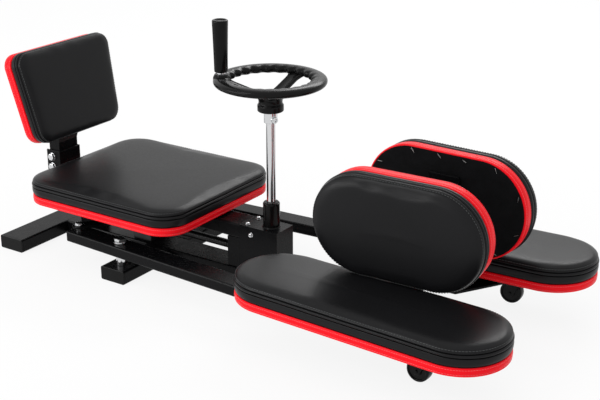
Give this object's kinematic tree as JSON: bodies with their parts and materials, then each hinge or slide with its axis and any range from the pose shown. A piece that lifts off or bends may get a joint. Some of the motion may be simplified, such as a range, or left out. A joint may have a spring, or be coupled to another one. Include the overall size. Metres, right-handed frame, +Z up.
{
  "type": "leg stretching machine",
  "caption": "Low floor frame with padded seat and backrest, hinged leg arms with leg and side pads on casters, and a handwheel that spreads them through bevel gears, leadscrew and links.",
  "frame": {"origin": "on the floor plane, at the middle of the rear foot's underside", "axes": "+X forwards along the main beam towards the leg pads, +Y to the seated person's left, +Z up"},
  "size_m": [1.1124, 0.5202, 0.5015],
  "materials": {
    "black_steel": "satin powder coat",
    "chrome": "polished",
    "bright_steel": "zinc plated",
    "black_vinyl": "satin",
    "red_vinyl": "satin",
    "black_plastic": "satin"
  },
  "bodies": {
    "frame": {"rear_foot": "black_steel", "rear_foot_plug_right": "black_plastic", "rear_foot_plug_left": "black_plastic", "main_beam": "black_steel", "middle_foot_right": "black_steel", "middle_foot_left": "black_steel", "middle_foot_plug_right": "black_plastic", "middle_foot_plug_left": "black_plastic", "pivot_spacer_right": "chrome", "pivot_spacer_left": "chrome", "pivot_bolt_right": "chrome", "pivot_bolt_left": "chrome", "seat_post": "black_steel", "bearing_post": "black_steel", "gear_housing": "black_steel", "shaft_sleeve": "black_plastic", "upper_tube": "black_steel", "housing_bolt_right": "chrome", "housing_bolt_left": "chrome", "housing_side_bolt": "chrome", "seat_plate": "black_steel", "seat_board": "red_vinyl", "seat_cushion": "black_vinyl", "back_lower_bracket": "black_steel", "back_upper_bracket": "black_steel", "bracket_bolt_upper": "chrome", "bracket_bolt_lower": "chrome", "back_board": "red_vinyl", "back_cushion": "black_vinyl"},
    "wheel": {"drive_shaft": "chrome", "bevel_pinion": "bright_steel", "shaft_collar": "chrome", "handwheel": "black_plastic", "handle_pin": "chrome"},
    "handle": {"handle_grip": "black_plastic"},
    "screw": {"leadscrew": "bright_steel", "bevel_gear": "bright_steel"},
    "nut": {"drive_nut": "bright_steel"},
    "right_arm": {"arm_tube_right": "black_steel", "side_bracket_right": "black_steel", "leg_board_right": "red_vinyl", "leg_cushion_right": "black_vinyl", "side_board_right": "red_vinyl", "side_cushion_right": "black_vinyl", "caster_plate_right": "bright_steel", "link_bolt_right": "chrome"},
    "left_arm": {"arm_tube_left": "black_steel", "side_bracket_left": "black_steel", "leg_board_left": "red_vinyl", "leg_cushion_left": "black_vinyl", "side_board_left": "red_vinyl", "side_cushion_left": "black_vinyl", "caster_plate_left": "bright_steel", "link_bolt_left": "chrome"},
    "right_link": {"link_right": "black_steel"},
    "left_link": {"link_left": "black_steel"},
    "right_fork": {"caster_fork_right": "black_plastic"},
    "left_fork": {"caster_fork_left": "black_plastic"},
    "right_caster": {"caster_wheel_right": "black_plastic"},
    "left_caster": {"caster_wheel_left": "black_plastic"}
  },
  "joints": [
    {"name": "handwheel_turn", "type": "hinge", "parent": "frame", "child": "wheel", "pos_m": [0.523, 0, 0.393], "axis": [0, 0, -1], "range_deg": [0, 6048]},
    {"name": "handle_spin", "type": "hinge", "parent": "wheel", "child": "handle", "pos_m": [0.44922, -0.0461, 0.45], "axis": [0, 0, 1], "continuous": true},
    {"name": "screw_turn", "type": "hinge", "parent": "frame", "child": "screw", "pos_m": [0.523, 0, 0.057], "axis": [-1, 0, 0], "range_deg": [0, 6048]},
    {"name": "nut_slide", "type": "slide", "parent": "frame", "child": "nut", "axis": [1, 0, 0], "range_m": [0, 0.1344]},
    {"name": "right_arm_swing", "type": "hinge", "parent": "frame", "child": "right_arm", "pos_m": [0.271, -0.13685, 0.06], "axis": [0, 0, -1], "range_deg": [0, 70]},
    {"name": "left_arm_swing", "type": "hinge", "parent": "frame", "child": "left_arm", "pos_m": [0.271, 0.13685, 0.06], "axis": [0, 0, 1], "range_deg": [0, 70]},
    {"name": "right_link_turn", "type": "hinge", "parent": "right_arm", "child": "right_link", "pos_m": [0.16098, -0.13051, 0.078], "axis": [0, 0, 1], "range_deg": [0, 7.35]},
    {"name": "left_link_turn", "type": "hinge", "parent": "left_arm", "child": "left_link", "pos_m": [0.16098, 0.13051, 0.078], "axis": [0, 0, -1], "range_deg": [0, 7.35]},
    {"name": "right_caster_swivel", "type": "hinge", "parent": "right_arm", "child": "right_fork", "pos_m": [0.93789, -0.1753, 0.045], "axis": [0, 0, 1], "continuous": true},
    {"name": "left_caster_swivel", "type": "hinge", "parent": "left_arm", "child": "left_fork", "pos_m": [0.93789, 0.1753, 0.045], "axis": [0, 0, 1], "continuous": true},
    {"name": "right_caster_roll", "type": "hinge", "parent": "right_fork", "child": "right_caster", "pos_m": [0.9319, -0.17496, 0.0208], "axis": [0.0576, 0.9983, 0], "continuous": true},
    {"name": "left_caster_roll", "type": "hinge", "parent": "left_fork", "child": "left_caster", "pos_m": [0.9319, 0.17496, 0.0208], "axis": [-0.0576, 0.9983, 0], "continuous": true}
  ],
  "couplings": [
    {"joint": "screw_turn", "follows": "handwheel_turn", "ratio": 1},
    {"joint": "nut_slide", "follows": "handwheel_turn", "m_per_rad": 0.0012732},
    {"joint": "right_arm_swing", "follows": "handwheel_turn", "ratio": 0.011574},
    {"joint": "left_arm_swing", "follows": "handwheel_turn", "ratio": 0.011574},
    {"joint": "right_link_turn", "follows": "handwheel_turn", "ratio": 0.0012153},
    {"joint": "left_link_turn", "follows": "handwheel_turn", "ratio": 0.0012153}
  ]
}
